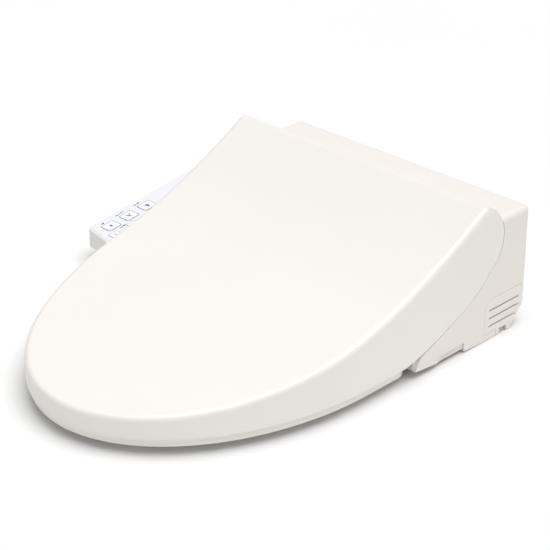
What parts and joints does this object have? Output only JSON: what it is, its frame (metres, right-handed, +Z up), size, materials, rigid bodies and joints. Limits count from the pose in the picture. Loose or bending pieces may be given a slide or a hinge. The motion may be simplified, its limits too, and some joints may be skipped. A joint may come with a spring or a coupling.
{
  "type": "electric bidet seat",
  "caption": "Electric bidet seat with sloping lid, heated seat ring, rear housing and a side control arm; bolts to a toilet bowl rim.",
  "frame": {"origin": "middle of the two mounting holes, on the underside that rests on the bowl rim", "axes": "+Z up, -Y towards the nose of the seat, +X to the sitter's left"},
  "size_m": [0.475, 0.535, 0.1669],
  "materials": {
    "ivory_shell": "gloss",
    "ivory_case": "satin",
    "ivory_seat": "gloss",
    "case_base": "matte",
    "label": "satin",
    "key_cap": "satin",
    "soft_rubber": "matte",
    "steel": "brushed",
    "bracket_plastic": "matte",
    "damper_body": "matte",
    "heater_foil": "foil",
    "circuit": "satin",
    "switch": "matte",
    "lamp": "gloss",
    "wand_white": "gloss",
    "fan_plastic": "matte",
    "brass_fitting": "machined",
    "carbon_media": "matte"
  },
  "bodies": {
    "base": {"base_plate": "case_base", "bolt_adjusters": "bracket_plastic"},
    "unit": {"upper_cover": "ivory_case", "lower_case": "case_base", "hinge_bracket_left": "bracket_plastic", "hinge_bracket_right": "bracket_plastic", "seat_damper": "damper_body", "lid_damper": "damper_body", "arm_case": "ivory_case", "arm_cover": "ivory_case", "arm_label": "label", "arm_board": "circuit", "key_switches": "switch", "indicator_lights": "lamp", "fan_housing": "case_base", "fan_motor": "damper_body", "nozzle_guide": "case_base", "nozzle_motor": "damper_body", "inlet_fitting": "brass_fitting", "inlet_strainer": "steel", "inlet_valve": "damper_body", "heater_tank": "fan_plastic", "supply_hose": "soft_rubber", "main_board": "circuit", "power_module": "damper_body", "cord_gland": "soft_rubber", "drain_plug": "ivory_case"},
    "lid": {"lid_shell": "ivory_shell", "lid_bumpers": "soft_rubber", "lid_shaft": "steel"},
    "seat": {"seat_top": "ivory_seat", "seat_bottom": "ivory_seat", "seat_heater": "heater_foil", "seat_bumpers": "soft_rubber", "seat_shaft": "steel"},
    "wand": {"nozzle_wand": "wand_white", "nozzle_tip": "wand_white", "nozzle_rack": "bracket_plastic"},
    "pinion": {"nozzle_pinion": "steel"},
    "fan": {"fan_impeller": "fan_plastic"},
    "filter": {"vent_cover": "ivory_case", "filter_cartridge": "case_base", "filter_media": "carbon_media"},
    "release": {"release_button": "ivory_case", "latch_bar": "bracket_plastic"},
    "wash_key_1": {"wash_key_1": "key_cap"},
    "wash_key_2": {"wash_key_2": "key_cap"},
    "wash_key_3": {"wash_key_3": "key_cap"},
    "setting_key_1": {"setting_key_1": "key_cap"},
    "setting_key_2": {"setting_key_2": "key_cap"},
    "setting_key_3": {"setting_key_3": "key_cap"},
    "setting_key_4": {"setting_key_4": "key_cap"}
  },
  "joints": [
    {"name": "unit_slide", "type": "slide", "parent": "base", "child": "unit", "axis": [0, -1, 0], "range_m": [0, 0.06]},
    {"name": "lid_hinge", "type": "hinge", "parent": "unit", "child": "lid", "pos_m": [0, -0.03, 0.125], "axis": [-1, 0, 0], "range_deg": [0, 110]},
    {"name": "seat_hinge", "type": "hinge", "parent": "unit", "child": "seat", "pos_m": [0, -0.03, 0.125], "axis": [-1, 0, 0], "range_deg": [0, 98]},
    {"name": "wand_slide", "type": "slide", "parent": "unit", "child": "wand", "axis": [0, -0.866, -0.5], "range_m": [0, 0.085]},
    {"name": "pinion_spin", "type": "hinge", "parent": "unit", "child": "pinion", "pos_m": [0.0144, -0.10468, 0.019], "axis": [0, -0.5, 0.866], "range_deg": [0, 812.69]},
    {"name": "fan_spin", "type": "hinge", "parent": "unit", "child": "fan", "pos_m": [0.12, 0.02, 0.03], "axis": [1, 0, 0], "continuous": true},
    {"name": "filter_slide", "type": "slide", "parent": "unit", "child": "filter", "axis": [1, 0, 0], "range_m": [0, 0.06]},
    {"name": "release_press", "type": "slide", "parent": "unit", "child": "release", "axis": [-1, 0, 0], "range_m": [0, 0.004], "stiffness_N_per_m": 800},
    {"name": "wash_key_1_press", "type": "slide", "parent": "unit", "child": "wash_key_1", "axis": [0, 0.1236, -0.9923], "range_m": [0, 0.0006], "stiffness_N_per_m": 900},
    {"name": "wash_key_2_press", "type": "slide", "parent": "unit", "child": "wash_key_2", "axis": [0, 0.1236, -0.9923], "range_m": [0, 0.0006], "stiffness_N_per_m": 900},
    {"name": "wash_key_3_press", "type": "slide", "parent": "unit", "child": "wash_key_3", "axis": [0, 0.1236, -0.9923], "range_m": [0, 0.0006], "stiffness_N_per_m": 900},
    {"name": "setting_key_1_press", "type": "slide", "parent": "unit", "child": "setting_key_1", "axis": [0, 0.1236, -0.9923], "range_m": [0, 0.0006], "stiffness_N_per_m": 900},
    {"name": "setting_key_2_press", "type": "slide", "parent": "unit", "child": "setting_key_2", "axis": [0, 0.1236, -0.9923], "range_m": [0, 0.0006], "stiffness_N_per_m": 900},
    {"name": "setting_key_3_press", "type": "slide", "parent": "unit", "child": "setting_key_3", "axis": [0, 0.1236, -0.9923], "range_m": [0, 0.0006], "stiffness_N_per_m": 900},
    {"name": "setting_key_4_press", "type": "slide", "parent": "unit", "child": "setting_key_4", "axis": [0, 0.1236, -0.9923], "range_m": [0, 0.0006], "stiffness_N_per_m": 900}
  ],
  "couplings": [
    {"joint": "seat_hinge", "follows": "lid_hinge", "ratio": 0.8908},
    {"joint": "pinion_spin", "follows": "wand_slide", "rad_per_m": 166.67}
  ]
}
